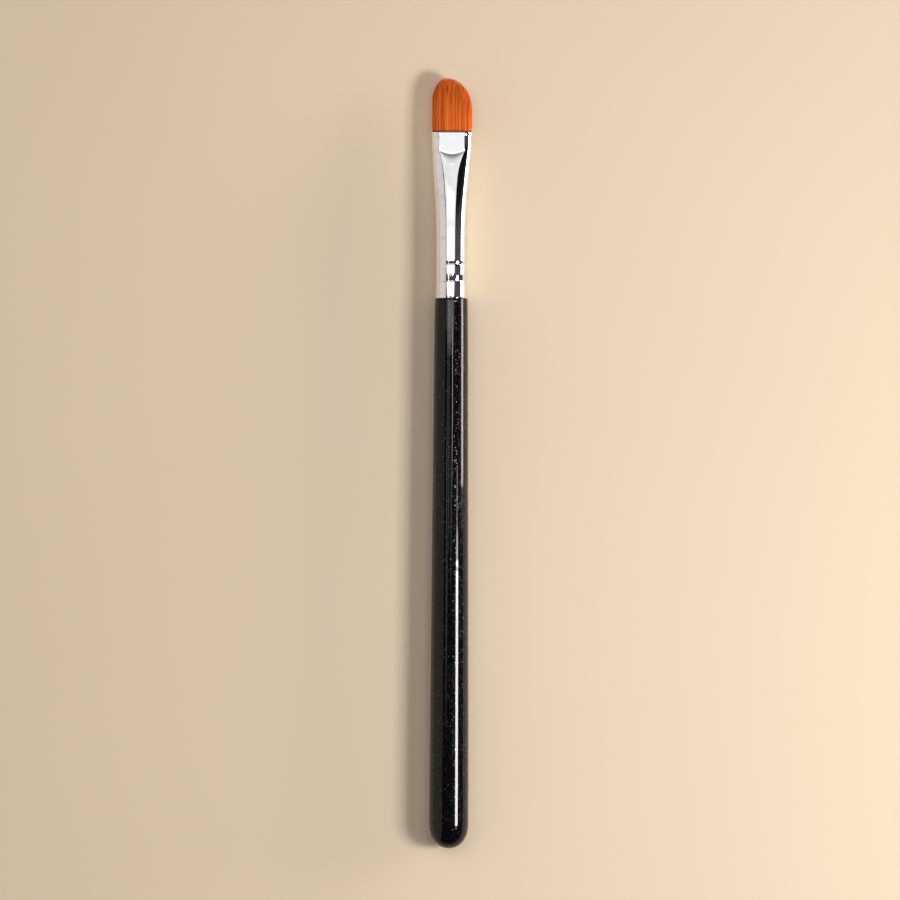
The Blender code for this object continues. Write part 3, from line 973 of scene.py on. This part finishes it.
floor_height = AXIS_HEIGHT - BELLY_RADIUS
floor_corners = [
    (x * FLOOR_HALF, y * FLOOR_HALF, floor_height)
    for x, y in ((-1, -1), (1, -1), (1, 1), (-1, 1))
]
floor_mesh = bpy.data.meshes.new("pale_table")
floor_mesh.from_pydata(floor_corners, [], [(0, 1, 2, 3)])
floor = bpy.data.objects.new("pale_table", floor_mesh)
bpy.context.scene.collection.objects.link(floor)

table_paint, tree, shader = new_material("pale_table_paint")
unevenness = node(
    tree, "ShaderNodeTexNoise", {"Vector": object_place(tree), "Scale": 14.0, "Detail": 3.0}
)
wire(
    tree,
    shader,
    Base_Color=blend(tree, unevenness, TABLE_SHADE, TABLE_LIGHT),
    Roughness=0.65,
)
floor_mesh.materials.append(table_paint)

# The lamps. LAMP_WATTS is what a panel needs for each square metre and unit of brightness.
LAMP_WATTS = math.pi


def lamp(name, lean, spread, distance, low, high, brightness, tint=(1, 1, 1), slant=0):
    """A soft panel that faces the brush. lean is its angle from overhead, towards the right, and
    spread how wide it looks from the brush. low and high are its ends along the brush, and slant
    turns it in its own plane."""
    width = 2 * distance * math.tan(math.radians(spread) / 2)
    data = bpy.data.lights.new(name, "AREA")
    data.shape = "RECTANGLE"
    data.size, data.size_y = width, high - low
    data.energy = brightness * width * (high - low) * LAMP_WATTS
    data.color = tint
    panel_lamp = bpy.data.objects.new(name, data)
    angle = math.radians(lean)
    panel_lamp.location = (
        distance * math.sin(angle),
        (low + high) / 2,
        AXIS_HEIGHT + distance * math.cos(angle),
    )
    panel_lamp.rotation_mode = "ZYX"
    panel_lamp.rotation_euler = (0, angle, math.radians(-slant))
    panel_lamp.visible_camera = False
    bpy.context.scene.collection.objects.link(panel_lamp)


# A wide soft box overhead, from the ferrule to far beyond the head, and brighter parts that
# share one place.
BRIGHTER_PART = (-5.5, 41, 0.63)
lamp("overhead_box", -6.5, 61, 0.62, 0.055, 0.34, 0.91)
lamp("overhead_centre", *BRIGHTER_PART, 0.0465, 0.0845, 3.2)
lamp("overhead_far", *BRIGHTER_PART, 0.113, 0.172, 1.0)
lamp("overhead_fade", *BRIGHTER_PART, 0.041, 0.0465, 1.2)

# Narrow slanted lamps that carry the box's two edges on towards the butt, and fade.
lamp("left_edge", -13, 12, 0.62, 0.022, 0.0465, 3.2, slant=50)
lamp("left_edge_low", -22, 11, 0.62, -0.05, 0.022, 1.3, slant=50)
lamp("right_edge", 10.5, 6, 0.62, 0.015, 0.0465, 9.5, slant=42)
lamp("right_edge_low", 5.5, 5, 0.62, -0.025, 0.015, 2.3, slant=42)

# A long warm strip low on the right, in a dim border: the bright right side of the ferrule.
lamp("right_strip", 82.5, 17, 1.3, 0.0, 1.15, 15.5, (0.97, 0.9, 0.8))
lamp("right_strip_border", 81.5, 23, 1.32, -0.02, 1.17, 0.8, (1, 0.9, 0.8))

# A strip up to the right of the handle, weaker at its ends: the long highlight on the lacquer.
lamp("low_strip", 45, 15.5, 0.5, -0.136, -0.026, 36)
lamp("low_strip_rise", 45, 12, 0.505, -0.03, -0.016, 12)
lamp("low_strip_start", 44.5, 9, 0.51, -0.04, 0.003, 5)
lamp("low_strip_tail", 44.5, 9, 0.51, -0.23, -0.12, 5)

# The room: pale on the left, dim overhead, darker a little way beyond the head, and lit further
# on, where it fades towards the horizon and comes back a little just above it.
LEFT_WALL = (0.7, 0.64, 0.61, 1)
WALL_BEYOND_HEAD = (1.0, 1.0, 1.02, 1)
DIM_OVERHEAD = (0.075, 0.062, 0.08, 1)
DARK_AHEAD = (0.006, 0.005, 0.007, 1)

world = bpy.data.worlds.new("plain_studio")
bpy.context.scene.world = world
world.use_nodes = True
tree = world.node_tree
way = tree.nodes.new("ShaderNodeSeparateXYZ")
tree.links.new(node(tree, "ShaderNodeTexCoord", out="Generated"), way.inputs[0])
right, ahead = way.outputs[:2]
on_left = ease_between(tree, right, -0.68, -0.62, 1.0, 0.0)
fading = ease_between(tree, ahead, 0.42, 0.83, 0.85, 0.18)
by_horizon = ease_between(tree, ahead, 0.88, 1.0, 0.0, 0.5)
beyond_head = calc(
    tree,
    "MULTIPLY",
    ease_between(tree, ahead, 0.38, 0.42),
    ease_between(tree, right, 0.34, 0.44, 1.0, 0.0),
)
glow = calc(tree, "MULTIPLY", beyond_head, calc(tree, "ADD", fading, by_horizon))
dim = blend(tree, ease_between(tree, ahead, 0.03, 0.13), DIM_OVERHEAD, DARK_AHEAD)
room = blend(tree, glow, dim, WALL_BEYOND_HEAD)
room = blend(tree, on_left, room, LEFT_WALL)
tree.links.new(room, tree.nodes["Background"].inputs["Color"])

# The camera, straight above. In the photograph the brush lies a hair off the upright.
CAMERA_DISTANCE = 1.5
FRAME_WIDTH = 198.6 * MM
FRAME_CENTRE = (-0.13 * MM, 2.9 * MM)
FRAME_TURN = math.radians(0.28)
SENSOR_WIDTH = 36

camera_data = bpy.data.cameras.new("overhead_camera")
camera_data.sensor_width = SENSOR_WIDTH
camera_data.lens = SENSOR_WIDTH * CAMERA_DISTANCE / FRAME_WIDTH
camera = bpy.data.objects.new("overhead_camera", camera_data)
camera.location = (*FRAME_CENTRE, AXIS_HEIGHT + CAMERA_DISTANCE)
camera.rotation_euler = (0, 0, FRAME_TURN)
bpy.context.scene.collection.objects.link(camera)
bpy.context.scene.camera = camera
bpy.context.scene.view_settings.view_transform = "Standard"
